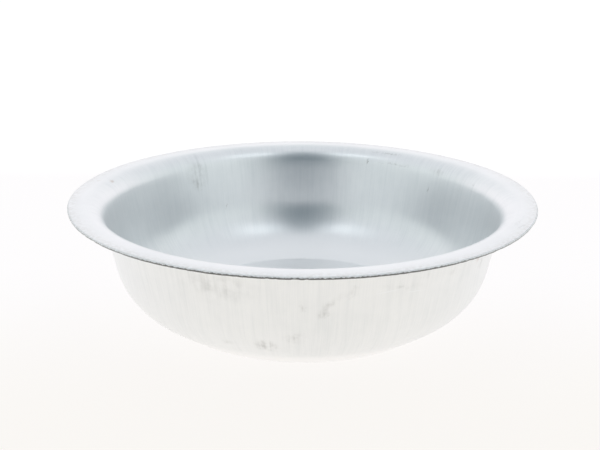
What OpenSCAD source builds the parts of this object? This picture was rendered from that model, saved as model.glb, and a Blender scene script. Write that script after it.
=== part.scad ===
// Oil drain pan: one deep-drawn basin of thin galvanised sheet steel.
//
// The whole pan is one sheet, so its section is one strip of constant thickness
// turned about the Z axis. From the middle outwards the strip runs: flat base,
// crease, sloping floor, corner, wall, shoulder, flat rim, and a hem that folds
// the raw edge back under the rim.
//
// Origin: centre of the underside of the base. +Z is up, towards the mouth.

/* [Overall] */
// Diameter over the rim
rim_d = 406; // [400:1:430]
// Height from the underside of the base to the top of the rim
pan_h = 106; // [98:1:112]
// Thickness of the sheet
sheet = 0.7; // [0.5:0.05:1]

/* [Rim] */
// Width of the flat rim, from its edge to where the shoulder bend starts
rim_w = 13.5; // [11:0.5:16]
// Radius of the shoulder bend between the rim and the wall, on its upper face
shoulder_r = 18; // [14:0.5:19]
// Height of the folded edge
hem_h = 2.4; // [2.2:0.1:4]
// Width of the folded edge
hem_w = 8; // [5:0.5:10]

/* [Wall] */
// Lean of the wall from vertical, in degrees
wall_lean = 11; // [8:0.5:13]
// Radius of the corner between the wall and the sloping floor, outside
corner_r = 57; // [30:1:58]

/* [Base] */
// Diameter of the flat base
base_d = 235; // [215:1:237]
// Rise of the sloping floor around the base, in degrees from horizontal
floor_rise = 34; // [31:1:38]
// Radius of the crease at the edge of the base, outside
crease_r = 6; // [3:0.5:9]

/* [Hidden] */
$fn = 180;

// Furthest that a straight facet of a bend may stray from the true arc
bend_error = 0.02;

half = sheet / 2;
rim_r = rim_d / 2;
mouth_r = rim_r - rim_w;
base_r = base_d / 2;
hem_r = hem_h / 2;

// The section is drawn as (radius, height). Each bend has a centre, and a radius
// to the sheet's middle line that is negative where the centre is underneath.
crease_c = [base_r, crease_r];
crease_m = crease_r - half;
corner_m = corner_r - half;
shoulder_c = [mouth_r, pan_h - shoulder_r];
shoulder_m = half - shoulder_r;
hem_c = [rim_r - hem_r, pan_h - hem_r];
hem_m = half - hem_r;

// Directions that the underside of the sheet faces, as angles in the section
down = -90;
floor_face = floor_rise - 90;
wall_face = -wall_lean;
folded = -270;

function unit(angle) = [cos(angle), sin(angle)];

// The floor rises outwards from the crease and the wall falls from the shoulder,
// and the corner arc takes the same length off both where they would meet
floor_low = crease_c + crease_m * unit(floor_face);
floor_run = unit(floor_rise);
wall_top = shoulder_c + shoulder_m * unit(wall_face);
wall_run = -unit(90 - wall_lean);
floor_reach = cross(wall_top - floor_low, wall_run) / cross(floor_run, wall_run);
corner_cut = corner_m * tan((wall_face - floor_face) / 2);
floor_top = floor_low + (floor_reach - corner_cut) * floor_run;
corner_c = floor_top - corner_m * unit(floor_face);

// A station is a point of the sheet's middle line and the way its underside faces
function bend_steps(radius, sweep) =
    ceil(abs(sweep) / (2 * acos(1 - bend_error / abs(radius))));

function bend(centre, radius, from, to) =
    let (steps = bend_steps(radius, to - from))
    [
        for (i = [0 : steps])
            let (face = from + (to - from) * i / steps)
            [centre + radius * unit(face), face]
    ];

stations = concat(
    [[[0, half], down]],
    bend(crease_c, crease_m, down, floor_face),
    bend(corner_c, corner_m, floor_face, wall_face),
    bend(shoulder_c, shoulder_m, wall_face, down),
    bend(hem_c, hem_m, down, folded),
    [[[rim_r - hem_w, pan_h - hem_h + half], folded]]
);

// One face of the sheet: the stations moved half a thickness, down or up
function sheet_face(offset) = [for (s = stations) s[0] + offset * unit(s[1])];

function reversed(list) = [for (i = [len(list) - 1 : -1 : 0]) list[i]];

module section() {
    polygon(concat(sheet_face(half), reversed(sheet_face(-half))));
}

// The pan itself, one continuous pressing
module basin() {
    color([0.76, 0.78, 0.79])
        rotate_extrude()
            section();
}

basin();
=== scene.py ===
"""Looks of the oil drain pan: one drawn basin of galvanised sheet steel.

It stands on white paper in soft studio light.
"""

import math
from collections import namedtuple

import bpy
import numpy as np
from mathutils import Matrix, Vector


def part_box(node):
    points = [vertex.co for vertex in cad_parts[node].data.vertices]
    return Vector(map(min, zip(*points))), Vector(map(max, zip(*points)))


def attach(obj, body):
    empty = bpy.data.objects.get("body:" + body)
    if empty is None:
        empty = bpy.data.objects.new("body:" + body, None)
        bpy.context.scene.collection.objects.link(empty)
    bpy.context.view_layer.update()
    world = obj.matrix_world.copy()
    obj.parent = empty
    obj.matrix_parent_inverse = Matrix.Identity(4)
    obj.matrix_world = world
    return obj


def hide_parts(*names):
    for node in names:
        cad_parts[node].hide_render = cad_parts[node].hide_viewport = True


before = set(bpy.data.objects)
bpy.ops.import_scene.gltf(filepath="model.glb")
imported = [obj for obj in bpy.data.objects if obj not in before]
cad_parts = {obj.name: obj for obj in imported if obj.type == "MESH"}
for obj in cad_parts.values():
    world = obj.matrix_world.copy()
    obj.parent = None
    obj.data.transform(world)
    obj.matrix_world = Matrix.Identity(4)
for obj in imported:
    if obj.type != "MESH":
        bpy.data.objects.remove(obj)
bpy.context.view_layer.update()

# ---------------------------------------------------------------------------
# The pan's section, in metres. Rim radius and height come from the CAD model.
# ---------------------------------------------------------------------------

MM = 0.001
RIM_R = max(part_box("basin")[1].x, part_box("basin")[1].y)
PAN_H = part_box("basin")[1].z

SHEET = 0.7 * MM
RIM_W = 13.5 * MM
SHOULDER_R = 18 * MM
HEM_H = 2.4 * MM
HEM_W = 8 * MM
WALL_LEAN = 11
CORNER_R = 57 * MM
BASE_R = 117.5 * MM
FLOOR_RISE = 34
CREASE_R = 6 * MM
HALF = SHEET / 2

# Directions that the underside of the sheet faces, as angles in the section
DOWN = -90
FLOOR_FACE = FLOOR_RISE - 90
WALL_FACE = -WALL_LEAN
FOLDED = -270

# Zones along the section
BASE, FLOOR, CORNER, WALL, SHOULDER, RIM, HEM, LEG = range(8)

# Mesh density: the rim and hem have two points for each one of the rest
SEGMENTS = 560
RING_GAP = 8 * MM
CREASE_STEPS = 5
CORNER_STEPS = 9
SHOULDER_STEPS = 10
HEM_STEPS = 8

# Azimuths are in degrees from the front of the pan, positive towards +X.
# Distances "out" run along the sheet from the middle of the base, in mm.
# The wall, unrolled, is measured round the pan at this radius, in mm.
UNROLLED_R = 170

# Each dent is (azimuth, out, radius in mm, depth in mm, positive outwards).
DENTS = [
    (-139, 232, 13, 0.5),
    (133, 238, 12, 0.35),
    (-27, 214, 24, -0.35),
    (14, 212, 12, -0.3),
    (-8, 172, 12, -0.3),
    (58, 212, 14, -0.4),
    (-80, 205, 22, 0.3),
    (95, 196, 18, -0.3),
    (165, 200, 20, 0.25),
]

# Waves that drawing leaves in the wall: how many, their lobes round the pan, their length
# along the sheet in mm, and the height of each. Waves and dents fade out over WALL_END.
WAVES = 14
WAVE_LOBES = (3, 17)
WAVE_LENGTHS = (35, 110)
WAVE_HEIGHT = 0.035 * MM
WALL_END = (238, 246)

# The rim has been knocked at most this far below its true height and inside its true radius,
# all of it from the end of RIM_START onwards.
RIM_DROOP = 0.5 * MM
RIM_TUCK = 0.35 * MM
RIM_START = (232, 258)

# The folded edge wanders inwards by up to HEM_WANDER, and nicks of up to NICK_DEPTH run
# along its underside.
HEM_WANDER = 0.30 * MM
NICK_DEPTH = 0.45 * MM


def unit(angle):
    a = math.radians(angle)
    return np.array([math.cos(a), math.sin(a)])


def cross(a, b):
    return a[0] * b[1] - a[1] * b[0]


def bend(centre, radius, start, end, steps, zone):
    """Stations round one bend: (radius, height, way the underside faces, zone)."""
    faces = [start + (end - start) * i / steps for i in range(steps + 1)]
    return [(*(centre + radius * unit(f)), f, zone) for f in faces]


def straight(start, end, face, zone):
    """Stations between two points, without the ends."""
    start, end = np.array(start), np.array(end)
    steps = max(1, math.ceil(np.linalg.norm(end - start) / RING_GAP))
    return [(*(start + (end - start) * i / steps), face, zone) for i in range(1, steps)]


def sheet_stations():
    """The middle line of the sheet from the axis to the tip of the hem, as an array."""
    crease_c, crease_m = np.array([BASE_R, CREASE_R]), CREASE_R - HALF
    shoulder_c, shoulder_m = np.array([RIM_R - RIM_W, PAN_H - SHOULDER_R]), HALF - SHOULDER_R
    hem_c, hem_m = np.array([RIM_R - HEM_H / 2, PAN_H - HEM_H / 2]), HALF - HEM_H / 2
    corner_m = CORNER_R - HALF

    floor_low = crease_c + crease_m * unit(FLOOR_FACE)
    floor_run = unit(FLOOR_RISE)
    wall_top = shoulder_c + shoulder_m * unit(WALL_FACE)
    wall_run = -unit(90 - WALL_LEAN)
    reach = cross(wall_top - floor_low, wall_run) / cross(floor_run, wall_run)
    cut = corner_m * math.tan(math.radians((WALL_FACE - FLOOR_FACE) / 2))
    floor_top = floor_low + (reach - cut) * floor_run
    corner_c = floor_top - corner_m * unit(FLOOR_FACE)
    wall_low = corner_c + corner_m * unit(WALL_FACE)

    hem_tip = (RIM_R - HEM_W, PAN_H - HEM_H + HALF)
    return np.array(
        [(0, HALF, DOWN, BASE)]
        + straight((0, HALF), (BASE_R, HALF), DOWN, BASE)
        + bend(crease_c, crease_m, DOWN, FLOOR_FACE, CREASE_STEPS, FLOOR)
        + straight(floor_low, floor_top, FLOOR_FACE, FLOOR)
        + bend(corner_c, corner_m, FLOOR_FACE, WALL_FACE, CORNER_STEPS, CORNER)
        + straight(wall_low, wall_top, WALL_FACE, WALL)
        + bend(shoulder_c, shoulder_m, WALL_FACE, DOWN, SHOULDER_STEPS, SHOULDER)
        + straight((RIM_R - RIM_W, PAN_H - HALF), (hem_c[0], PAN_H - HALF), DOWN, RIM)
        + bend(hem_c, hem_m, DOWN, FOLDED, HEM_STEPS, HEM)
        + straight((hem_c[0], hem_tip[1]), hem_tip, FOLDED, LEG)
        + [(*hem_tip, FOLDED, LEG)]
    )


def distances_out(stations):
    """How far along the sheet each station is from the middle of the base, in mm."""
    steps = np.linalg.norm(np.diff(stations[:, :2], axis=0), axis=1)
    return np.concatenate([[0], np.cumsum(steps)]) / MM


# ---------------------------------------------------------------------------
# What drawing and use have done to the sheet
# ---------------------------------------------------------------------------


def ripple(theta, cells, seed):
    """Smooth random values from 0 to 1 round the pan, with the given number of cells."""
    values = np.random.default_rng(seed).random(cells)
    at = theta / (2 * np.pi) * cells
    low = np.floor(at).astype(int) % cells
    t = at - np.floor(at)
    t = t * t * (3 - 2 * t)
    return values[low] * (1 - t) + values[(low + 1) % cells] * t


def ease(value, low, high):
    t = np.clip((value - low) / (high - low), 0, 1)
    return t * t * (3 - 2 * t)


def unevenness(theta, out):
    """How far a drawn wall wanders from its true section, in metres, outwards."""
    rng = np.random.default_rng(11)
    total = np.zeros_like(theta)
    for _ in range(WAVES):
        lobes = rng.integers(*WAVE_LOBES)
        wave = rng.uniform(*WAVE_LENGTHS)
        swing = np.sin(2 * np.pi * (out / wave + rng.random()))
        total += swing * np.sin(lobes * theta + 2 * np.pi * rng.random())
    return WAVE_HEIGHT * total


def dents(theta, out):
    """How far the listed dents push the sheet, in metres, outwards."""
    total = np.zeros_like(theta)
    for azimuth, place, radius, depth in DENTS:
        turn = (theta - math.radians(azimuth - 90) + np.pi) % (2 * np.pi) - np.pi
        across = turn * UNROLLED_R / radius
        total += depth * MM * np.exp(-across**2 - ((out - place) / radius) ** 2)
    return total


def worn(station, out, theta, side):
    """One ring of a face of the sheet, as drawn, hemmed and knocked about.

    Gives the radius and the height at each angle. The side is 1 for the underside
    and -1 for the upper face.
    """
    r, z, face, zone = station
    push = np.full_like(theta, side * HALF)
    if FLOOR < zone < RIM:
        fade_start, fade_end = WALL_END
        push += (unevenness(theta, out) + dents(theta, out)) * ease(-out, -fade_end, -fade_start)
    r = r + push * math.cos(math.radians(face))
    z = z + push * math.sin(math.radians(face))
    rim = ease(out, *RIM_START)
    z = z - rim * RIM_DROOP * ripple(theta, cells=17, seed=3)
    r = r - rim * RIM_TUCK * ripple(theta, cells=11, seed=4)
    if zone >= HEM:
        turned, under = ease(-face, 90, 160), ease(-face, 110, 200)
        nicked = ease(ripple(theta, cells=60, seed=6), 0.25, 0.75)
        nicks = ripple(theta, cells=420, seed=5) ** 2 * nicked
        r = r - HEM_WANDER * ripple(theta, cells=300, seed=7) * turned
        z = z + NICK_DEPTH * nicks * under
    return r, z


# ---------------------------------------------------------------------------
# The mesh
# ---------------------------------------------------------------------------


def seam(low, high, low_count, high_count):
    """Faces between two rings, each given by its first point and its count.

    The counts are the same, or one is double the other.
    """
    if low_count == high_count:
        n = low_count
        return [(low + i, low + (i + 1) % n, high + (i + 1) % n, high + i) for i in range(n)]
    if high_count > low_count:
        n, m = low_count, high_count
        return [
            (low + i, low + (i + 1) % n, high + (2 * i + 2) % m, high + 2 * i + 1, high + 2 * i)
            for i in range(n)
        ]
    n, m = high_count, low_count
    return [
        (low + 2 * i, low + 2 * i + 1, low + (2 * i + 2) % m, high + (i + 1) % n, high + i)
        for i in range(n)
    ]


def sheet_rings(stations, outs):
    """Rings of points, out along the underside to the hem's tip, then back along the upper face.

    Gives the points, how far out and on which face each is, and each ring's first point and count.
    """
    last = len(stations) - 1
    path = [(i, 1) for i in range(1, last + 1)] + [(i, -1) for i in range(last, 0, -1)]
    verts, runs, uppers, rings = [], [], [], []
    for i, side in path:
        count = SEGMENTS * (2 if stations[i, 3] >= RIM else 1)
        theta = 2 * np.pi * np.arange(count) / count
        r, z = worn(stations[i], outs[i], theta, side)
        rings.append((len(verts), count))
        verts += np.stack([r * np.cos(theta), r * np.sin(theta), z], 1).tolist()
        runs += [outs[i]] * count
        uppers += [float(side < 0)] * count
    return verts, runs, uppers, rings


def sheet_faces(rings, under, over):
    """Faces between the rings, and round the middle points of the underside and the upper face."""
    faces = []
    for (low, low_count), (high, high_count) in zip(rings, rings[1:]):
        faces += seam(low, high, low_count, high_count)
    first, final = rings[0][0], rings[-1][0]
    faces += [(under, first + (i + 1) % SEGMENTS, first + i) for i in range(SEGMENTS)]
    faces += [(over, final + i, final + (i + 1) % SEGMENTS) for i in range(SEGMENTS)]
    return faces


def make_pan(stations, outs):
    """The whole sheet as one closed mesh, with where each point lies on it as attributes."""
    verts, runs, uppers, rings = sheet_rings(stations, outs)
    under, over = len(verts), len(verts) + 1
    verts += [(0, 0, 0), (0, 0, SHEET)]
    runs += [0, 0]
    uppers += [0, 1]

    mesh = bpy.data.meshes.new("pan")
    mesh.from_pydata(verts, [], sheet_faces(rings, under, over))
    mesh.update()
    for name, values in (("out", runs), ("upper", uppers)):
        mesh.attributes.new(name, "FLOAT", "POINT").data.foreach_set("value", values)
    mesh.shade_smooth()
    mesh.set_sharp_from_angle(angle=math.radians(40))
    pan = bpy.data.objects.new("pan", mesh)
    bpy.context.scene.collection.objects.link(pan)
    return pan


# ---------------------------------------------------------------------------
# Node helpers
# ---------------------------------------------------------------------------


def feed(tree, node, sockets, values):
    """Links or sets each socket from a socket or a plain value, and leaves those with None."""
    for socket, value in zip(sockets, values):
        if value is None:
            continue
        if isinstance(value, bpy.types.NodeSocket):
            tree.links.new(value, socket)
        else:
            socket.default_value = value
    return node


def calc(tree, operation, *values):
    """A Math node on sockets or plain numbers."""
    node = tree.nodes.new("ShaderNodeMath")
    node.operation = operation
    return feed(tree, node, node.inputs, values).outputs[0]


def weighted(tree, *terms):
    """The sum of (value, weight) pairs."""
    total, *others = [calc(tree, "MULTIPLY", value, weight) for value, weight in terms]
    for other in others:
        total = calc(tree, "ADD", total, other)
    return total


def ratio(tree, top, bottom):
    """A division whose divisor is kept above zero."""
    return calc(tree, "DIVIDE", top, calc(tree, "MAXIMUM", bottom, 0.001))


def vector(tree, operation, *values, scale=None):
    """A Vector Math node on sockets or plain vectors."""
    node = tree.nodes.new("ShaderNodeVectorMath")
    node.operation = operation
    feed(tree, node, node.inputs, values)
    feed(tree, node, node.inputs[3:], [scale])
    return node.outputs[0]


def combine(tree, x, y, z):
    node = tree.nodes.new("ShaderNodeCombineXYZ")
    return feed(tree, node, node.inputs, (x, y, z)).outputs[0]


def split(tree, value):
    node = tree.nodes.new("ShaderNodeSeparateXYZ")
    return feed(tree, node, node.inputs, (value,)).outputs


def smooth(tree, value, low, high):
    """0 below low, 1 above high, and smooth between; low may be the greater."""
    node = tree.nodes.new("ShaderNodeMapRange")
    node.interpolation_type = "SMOOTHSTEP"
    ends = (min(low, high), max(low, high), float(low > high), float(low < high))
    return feed(tree, node, node.inputs, (value, *ends)).outputs[0]


def blend(tree, factor, one, two):
    """A colour mix of sockets or colours."""
    node = tree.nodes.new("ShaderNodeMix")
    node.data_type = "RGBA"
    sockets = (node.inputs[0], node.inputs[6], node.inputs[7])
    return feed(tree, node, sockets, (factor, one, two)).outputs[2]


def tint(tree, colour, mask, strength, other):
    """A colour with another one laid over it, as far as the mask and the strength say."""
    return blend(tree, calc(tree, "MULTIPLY", mask, strength), colour, other)


def noise(tree, place, scale, detail):
    node = tree.nodes.new("ShaderNodeTexNoise")
    sockets = (node.inputs["Vector"], node.inputs["Scale"], node.inputs["Detail"])
    feed(tree, node, sockets, (place, scale, detail))
    return node.outputs["Fac"]


def attribute(tree, name):
    node = tree.nodes.new("ShaderNodeAttribute")
    node.attribute_name = name
    return node.outputs["Fac"]


# ---------------------------------------------------------------------------
# Galvanised steel
# ---------------------------------------------------------------------------

# The unrolled sheet is cut at this azimuth, and a mark that crosses it ends there.
# The sheet's two faces lie FACE_GAP mm apart, so a mark on one doesn't show on the other.
CUT_AZIMUTH = 110
FACE_GAP = 1000
UNDER, UPPER = 0, 1

# Marks on the sheet: (face, azimuth, out, half width, half length, slant in degrees,
# strength), sizes in mm.
# Grime marks, and two marks at azimuth -141 that paint the shade of the dent at -139 as darker colour
GRIME_AND_DENT_SHADE = [
    (UNDER, -22, 220, 44, 20, 3, 0.6),
    (UNDER, -10, 168, 14, 10, 0, 1.2),
    (UNDER, -2, 178, 13, 8, 0, 0.9),
    (UNDER, -21, 167, 11, 4, 10, 0.5),
    (UNDER, 5.5, 201, 8, 5, 30, 1.0),
    (UNDER, 0, 207, 3, 5, 0, 0.7),
    (UNDER, 7.5, 211, 22, 4, 37, 0.6),
    (UNDER, 13, 219, 7, 6, 30, 0.8),
    (UNDER, 26, 219, 28, 4, -6, 0.5),
    (UNDER, 33, 223, 7, 4, 0, 0.7),
    (UNDER, 43, 220, 7, 5, 0, 0.7),
    (UNDER, 58, 214, 5, 11, 0, 0.7),
    (UNDER, 120, 205, 14, 8, 20, 0.6),
    (UNDER, 170, 190, 10, 16, 0, 0.5),
    (UNDER, -125, 215, 26, 8, 0, 0.6),
    # Painted shade: these two darken the colour over the dent at azimuth -139.
    (UPPER, -141, 229, 20, 24, 0, 0.7),
    (UPPER, -141, 215, 10, 8, 0, 0.6),
    (UPPER, 157, 234, 1.2, 3.5, 0, 1.5),
    (UPPER, 132, 217, 1.4, 5, 10, 1.4),
    (UPPER, 129, 236, 18, 7, 0, 0.5),
    (UPPER, -151, 188, 1.2, 4, 10, 1.4),
    (UPPER, 168, 172, 8, 7, 0, 0.5),
    (UPPER, 151, 246, 22, 2.2, 0, 0.9),
    (UPPER, 147, 234.5, 26, 1.5, 0, 0.8),
    (UPPER, 112, 236, 24, 1.5, 0, 0.5),
    (UPPER, 67, 257, 30, 1.6, 8, 0.6),
    (UPPER, 64, 262, 22, 1.2, 12, 0.6),
    (UPPER, -60, 258, 26, 3, 0, 0.35),
]
RUST = [
    (UNDER, 55, 224, 6, 12, 0, 0.9),
    (UNDER, -150, 196, 6, 9, 0, 0.7),
    (UPPER, -104, 247.5, 7, 4, 0, 0.8),
    (UPPER, -102, 258, 5, 2, 0, 0.5),
]
SCRATCHES = [
    (UPPER, 180, 168, 0.7, 8, 0, 1.0),
    (UPPER, 179, 150, 0.5, 9, 0, 0.5),
    (UPPER, 20, 150, 0.6, 14, 30, 0.8),
    (UPPER, -120, 200, 0.6, 12, -20, 0.8),
    (UNDER, 22, 216, 16, 0.6, 3, 0.9),
    (UNDER, 30, 212, 12, 0.6, -4, 0.8),
    (UNDER, -17, 164, 12, 0.6, 8, 0.8),
    (UNDER, 140, 210, 14, 0.6, -25, 0.8),
]

ZINC_LIGHT = (0.93, 0.94, 0.945, 1)
ZINC_DARK = (0.83, 0.85, 0.86, 1)
ZINC_POLISHED = (0.99, 0.99, 0.99, 1)
# Painted reflection: a warm tint laid on the underside, as if it mirrored the warm floor
WARM_REFLECTION_TINT = (0.80, 0.76, 0.66, 1)
ZINC_HANDLED = (0.62, 0.60, 0.56, 1)
# Colour of grime, and of the painted shade over one dent
GRIME_AND_SHADE_COLOUR = (0.36, 0.35, 0.33, 1)
RUST_COLOUR = (0.50, 0.33, 0.22, 1)
SCRATCH_COLOUR = (0.93, 0.94, 0.95, 1)
# Near-black painted shade for the lower half of the folded edge
HEM_SHADE_COLOUR = (0.05, 0.047, 0.042, 1)

# Where the drawing streaks come in and go out, and where the polish of the base fades, out in mm
STREAKS_IN = (128, 165)
STREAKS_OUT = (252, 246)
POLISH_OUT = (160, 130)
# How wide the handled band is, up to the hem's bend, in mm
HANDLED_W = 11
# Where the roughness passes through about 0.275, stray strokes show.
LEAST_ROUGHNESS = 0.285

Spot = namedtuple("Spot", "place sheet heading out upper")
Grain = namedtuple("Grain", "cloud mottle fleck broad streak rings")
# Masks of grime, rust and scratches, and of painted shade over one dent and on the folded edge
WearAndShade = namedtuple("WearAndShade", "grime rust scratch soot")


def steel_map(tree):
    """Where a point is.

    Gives its place on the object, its place on the unrolled sheet in mm, its heading from
    the axis, its distance out, and 1 on the upper face or 0 on the underside.
    """
    place = tree.nodes.new("ShaderNodeTexCoord").outputs["Object"]
    out = attribute(tree, "out")
    upper = attribute(tree, "upper")
    turned = tree.nodes.new("ShaderNodeMapping")
    turned.inputs["Rotation"].default_value = (0, 0, math.radians(180 - CUT_AZIMUTH))
    tree.links.new(place, turned.inputs["Vector"])
    x, y, _ = split(tree, turned.outputs[0])
    turn = calc(tree, "ARCTAN2", x, calc(tree, "MULTIPLY", y, -1))
    around = calc(tree, "MULTIPLY", turn, UNROLLED_R)
    sheet = combine(tree, around, out, calc(tree, "MULTIPLY", upper, FACE_GAP))
    heading = vector(tree, "NORMALIZE", vector(tree, "MULTIPLY", place, (1, 1, 0)))
    return Spot(place, sheet, heading, out, upper)


def swept(tree, spot, around, along):
    """Noise coordinates: so many cells per radian round the pan and per mm along the sheet."""
    lift = combine(tree, 0, 0, calc(tree, "MULTIPLY", spot.out, along))
    return vector(tree, "ADD", vector(tree, "SCALE", spot.heading, scale=around), lift)


def marks(tree, sheet, listed):
    """One mask for a list of marks, each a soft ellipse on the unrolled sheet."""
    masks = []
    for face, azimuth, out, width, length, slant, strength in listed:
        turn = (azimuth - CUT_AZIMUTH) % 360 - 180
        centre = (math.radians(turn) * UNROLLED_R, out, face * FACE_GAP)
        node = tree.nodes.new("ShaderNodeMapping")
        node.vector_type = "TEXTURE"
        node.inputs["Location"].default_value = centre
        node.inputs["Rotation"].default_value = (0, 0, math.radians(slant))
        node.inputs["Scale"].default_value = (width, length, 1)
        tree.links.new(sheet, node.inputs["Vector"])
        ball = tree.nodes.new("ShaderNodeTexGradient")
        ball.gradient_type = "SPHERICAL"
        tree.links.new(node.outputs[0], ball.inputs["Vector"])
        masks.append((ball.outputs["Fac"], strength))
    return weighted(tree, *masks)


def steel_grain(tree, spot):
    """Patterns in the zinc: clouds, streaks up the drawn wall, and turned rings elsewhere."""
    cloud = noise(tree, spot.place, scale=22, detail=3)
    mottle = noise(tree, spot.place, scale=140, detail=3)
    fleck = noise(tree, spot.place, scale=420, detail=2)
    fine = noise(tree, swept(tree, spot, around=170, along=0.03), scale=1, detail=2)
    broad = noise(tree, swept(tree, spot, around=48, along=0.022), scale=1, detail=3)
    turned = noise(tree, swept(tree, spot, around=2.5, along=0.8), scale=1, detail=3)
    drawn = calc(
        tree, "MULTIPLY", smooth(tree, spot.out, *STREAKS_IN), smooth(tree, spot.out, *STREAKS_OUT)
    )
    lines = weighted(tree, (smooth(tree, fine, 0.35, 0.7), 0.5), (smooth(tree, broad, 0.4, 0.7), 0.5))
    streak = calc(tree, "MULTIPLY", drawn, lines)
    rings = calc(tree, "MULTIPLY", calc(tree, "SUBTRACT", 1, drawn), turned)
    return Grain(cloud, mottle, fleck, broad, streak, rings)


def drifted(tree, spot):
    """Places on the unrolled sheet that wander by a few mm, which makes a mark's edge ragged."""
    reach = 7
    wander = tree.nodes.new("ShaderNodeTexNoise")
    feed(tree, wander, (wander.inputs["Vector"], wander.inputs["Scale"]), (spot.place, 320))
    centred = vector(tree, "SUBTRACT", wander.outputs["Color"], (0.5, 0.5, 0.5))
    return vector(tree, "ADD", spot.sheet, vector(tree, "MULTIPLY", centred, (reach, reach, 0)))


def hem_painted_shade(tree, spot, hem_start):
    """Painted shade on the lower half of the folded edge, with a ragged border, thickest in front."""
    teeth = noise(tree, vector(tree, "MULTIPLY", spot.sheet, (0.45, 0, 0)), scale=1, detail=2)
    uneven = calc(tree, "MULTIPLY", calc(tree, "SUBTRACT", teeth, 0.5), 1.6)
    edge = smooth(tree, calc(tree, "ADD", spot.out, uneven), hem_start + 0.9, hem_start + 1.3)
    front = smooth(tree, split(tree, spot.place)[1], -0.12, -0.195)
    thickness = calc(tree, "ADD", 0.4, calc(tree, "MULTIPLY", front, 0.4))
    return calc(tree, "MULTIPLY", calc(tree, "MULTIPLY", edge, spot.upper), thickness)


def steel_wear_and_shade(tree, spot, grain, hem_start):
    """Masks for what use has left on the zinc, and for painted shade over one dent and on the folded
    edge.
    """
    ragged = drifted(tree, spot)
    broad, mottle = smooth(tree, grain.broad, 0.25, 0.7), smooth(tree, grain.mottle, 0.3, 0.7)
    smudges_and_dent_shade = calc(tree, "MULTIPLY", marks(tree, ragged, GRIME_AND_DENT_SHADE), calc(tree, "ADD", broad, mottle))
    stains = calc(tree, "MULTIPLY", marks(tree, ragged, RUST), grain.mottle)
    return WearAndShade(
        grime=smooth(tree, smudges_and_dent_shade, 0.0, 1.8),
        rust=smooth(tree, stains, 0.05, 0.7),
        scratch=smooth(tree, marks(tree, spot.sheet, SCRATCHES), 0.1, 0.6),
        soot=hem_painted_shade(tree, spot, hem_start),
    )


def steel_colour(tree, spot, grain, wear_and_shade, hem_start):
    """Cloudy zinc, polished on the base, dulled by hands at the rim, with grime, rust and scratches;
    a painted warm reflection of the floor on the underside, painted shade over one dent, and
    near-black painted shade on the lower half of the folded edge.
    """
    shade = weighted(
        tree, (grain.cloud, 0.55), (grain.mottle, 0.25), (grain.streak, 0.35), (grain.rings, 0.2)
    )
    colour = blend(tree, smooth(tree, shade, 0.2, 1.05), ZINC_LIGHT, ZINC_DARK)
    colour = blend(tree, smooth(tree, spot.out, *POLISH_OUT), colour, ZINC_POLISHED)
    # Painted reflection: the underside is tinted warm, as if it mirrored the warm floor.
    colour = tint(tree, colour, calc(tree, "SUBTRACT", 1, spot.upper), 0.12, WARM_REFLECTION_TINT)
    band = smooth(tree, spot.out, hem_start - HANDLED_W, hem_start)
    handled = calc(tree, "MULTIPLY", band, smooth(tree, grain.fleck, 0.3, 0.7))
    colour = tint(tree, colour, handled, 0.35, ZINC_HANDLED)
    # Grime, and the painted shade over one dent, darken the colour.
    colour = tint(tree, colour, wear_and_shade.grime, 0.45, GRIME_AND_SHADE_COLOUR)
    colour = tint(tree, colour, wear_and_shade.rust, 0.6, RUST_COLOUR)
    colour = tint(tree, colour, wear_and_shade.scratch, 0.7, SCRATCH_COLOUR)
    # Painted shade: the lower half of the folded edge is made near black, thickest in front.
    return blend(tree, wear_and_shade.soot, colour, HEM_SHADE_COLOUR)


def steel_roughness(tree, spot, grain, wear_and_shade, hem_start):
    """Satin, duller where it is dirty, over the painted dent shade, and on the folded edge."""
    turned_edge = smooth(tree, spot.out, hem_start - 0.3, hem_start + 0.3)
    extra = weighted(
        tree,
        (grain.cloud, 0.05),
        (grain.streak, 0.04),
        (wear_and_shade.grime, 0.25),
        (wear_and_shade.rust, 0.3),
        (turned_edge, 0.4),
    )
    return calc(tree, "ADD", extra, LEAST_ROUGHNESS)


def steel_bump(tree, grain, wear_and_shade):
    """The normal over fine relief: heights in microns."""
    node = tree.nodes.new("ShaderNodeBump")
    node.inputs["Distance"].default_value = 1e-6
    height = weighted(
        tree, (grain.broad, 3.0), (grain.rings, 3.0), (grain.mottle, 3.0), (wear_and_shade.scratch, -2.5)
    )
    tree.links.new(height, node.inputs["Height"])
    return node.outputs[0]


def galvanised_steel(hem_start):
    """Dulled zinc; hem_start is how far out the hem's bend starts, in mm."""
    material = bpy.data.materials.new("galvanised_steel")
    material.use_nodes = True
    tree = material.node_tree
    shader = tree.nodes["Principled BSDF"]
    spot = steel_map(tree)
    grain = steel_grain(tree, spot)
    wear_and_shade = steel_wear_and_shade(tree, spot, grain, hem_start)
    for name, value in (
        ("Base Color", steel_colour(tree, spot, grain, wear_and_shade, hem_start)),
        ("Roughness", steel_roughness(tree, spot, grain, wear_and_shade, hem_start)),
        ("Normal", steel_bump(tree, grain, wear_and_shade)),
    ):
        tree.links.new(value, shader.inputs[name])
    shader.inputs["Metallic"].default_value = 0.78
    return material


# ---------------------------------------------------------------------------
# Stage, light and camera
# ---------------------------------------------------------------------------


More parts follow.
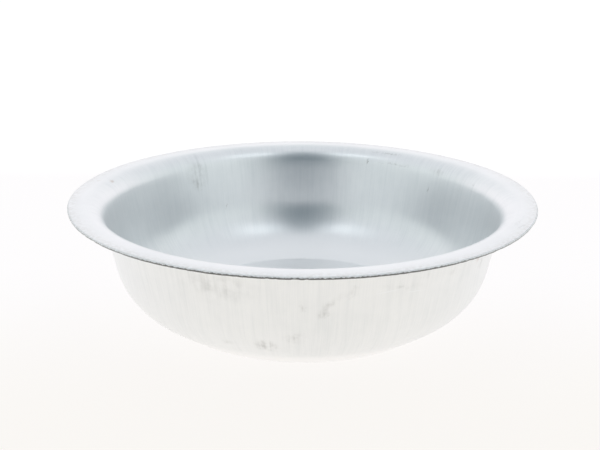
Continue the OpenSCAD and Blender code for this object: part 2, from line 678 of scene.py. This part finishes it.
def add_floor():
    """White paper, lit to nearly pure white at the back, and a touch warmer in front."""
    near, middle, far = (0.885, 0.86, 0.83, 1), (0.92, 0.905, 0.91, 1), (0.98, 0.98, 0.98, 1)
    near_to_middle, middle_to_far = (-0.25, 0.1), (0.42, 0.55)
    bpy.ops.mesh.primitive_plane_add(size=30, location=(0, 0, 0))
    floor = bpy.context.object
    floor.name = "floor"
    material = bpy.data.materials.new("floor_paper")
    material.use_nodes = True
    tree = material.node_tree
    shader = tree.nodes["Principled BSDF"]
    y = split(tree, tree.nodes.new("ShaderNodeTexCoord").outputs["Object"])[1]
    glow = blend(tree, smooth(tree, y, *near_to_middle), near, middle)
    glow = blend(tree, smooth(tree, y, *middle_to_far), glow, far)
    tree.links.new(glow, shader.inputs["Emission Color"])
    shader.inputs["Base Color"].default_value = (0.10, 0.10, 0.10, 1)
    shader.inputs["Roughness"].default_value = 0.9
    shader.inputs["Specular IOR Level"].default_value = 0
    shader.inputs["Emission Strength"].default_value = 1
    floor.data.materials.append(material)


def tent_colour(tree):
    """The tent's colour in each direction: brighter behind the pan, with a dark gap in front."""
    low, high = (0.79, 0.85, 0.86, 1), (0.75, 0.78, 0.82, 1)
    back = (1.09, 1.06, 1.09, 1)
    gap = (0.02, 0.06, 0.09, 1)
    x, y, z = split(tree, tree.nodes.new("ShaderNodeTexCoord").outputs["Generated"])
    colour = blend(tree, smooth(tree, z, 0.35, 0.9), low, high)
    behind = calc(tree, "MULTIPLY", smooth(tree, y, 0.1, 0.8), smooth(tree, z, 0.95, 0.10))
    colour = blend(tree, behind, colour, back)
    aside = ratio(tree, calc(tree, "ABSOLUTE", x), calc(tree, "ABSOLUTE", y))
    forward = ratio(tree, calc(tree, "MULTIPLY", y, -1), z)
    front = calc(
        tree, "MULTIPLY", smooth(tree, aside, 0.66, 0.16), smooth(tree, forward, 0.02, 0.50)
    )
    return blend(tree, front, colour, gap)


def add_world():
    """A white tent round the pan, which the camera itself sees as plain white."""
    world = bpy.data.worlds.new("studio")
    bpy.context.scene.world = world
    world.use_nodes = True
    tree = world.node_tree
    studio = tree.nodes["Background"]
    tree.links.new(tent_colour(tree), studio.inputs["Color"])
    plain = tree.nodes.new("ShaderNodeBackground")
    plain.inputs["Color"].default_value = (1, 1, 1, 1)
    seen = tree.nodes.new("ShaderNodeMixShader")
    camera_ray = tree.nodes.new("ShaderNodeLightPath").outputs["Is Camera Ray"]
    feed(tree, seen, seen.inputs, (camera_ray, studio.outputs[0], plain.outputs[0]))
    tree.links.new(seen.outputs[0], tree.nodes["World Output"].inputs[0])


def add_panel(side):
    """A soft front panel, left or right of the camera and well above it."""
    distance, azimuth, elevation = 3, math.radians(46), math.radians(62)
    size, power, colour = 0.95, 2.2, (0.90, 0.98, 1.0)
    data = bpy.data.lights.new("panel", "AREA")
    data.size = size
    data.energy = power
    data.color = colour
    light = bpy.data.objects.new("panel", data)
    light.location = (
        side * distance * math.sin(azimuth) * math.cos(elevation),
        -distance * math.cos(azimuth) * math.cos(elevation),
        distance * math.sin(elevation),
    )
    light.rotation_euler = Vector(light.location).to_track_quat("Z", "Y").to_euler()
    bpy.context.scene.collection.objects.link(light)


def add_camera():
    """Stands in front of the pan and looks down on it."""
    distance, rise = 0.850, math.radians(16.32)
    pitch, yaw, roll = 18.19, -0.15, 0.26
    data = bpy.data.cameras.new("camera")
    data.lens = 57.73
    data.sensor_width = 36
    camera = bpy.data.objects.new("camera", data)
    camera.location = (0, -distance * math.cos(rise), PAN_H + distance * math.sin(rise))
    turn = Matrix.Rotation(-math.radians(yaw), 4, "Z")
    tilt = Matrix.Rotation(math.radians(90 - pitch), 4, "X")
    lean = Matrix.Rotation(math.radians(roll), 4, "Z")
    camera.rotation_euler = (turn @ tilt @ lean).to_euler()
    bpy.context.scene.collection.objects.link(camera)
    bpy.context.scene.camera = camera


bpy.context.scene.view_settings.view_transform = "Standard"
add_camera()
add_world()
add_floor()
for side in (-1, 1):
    add_panel(side)

stations = sheet_stations()
outs = distances_out(stations)
pan = make_pan(stations, outs)
pan.data.materials.append(galvanised_steel(outs[stations[:, 3] == HEM][0]))
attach(pan, "root")
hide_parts("basin")
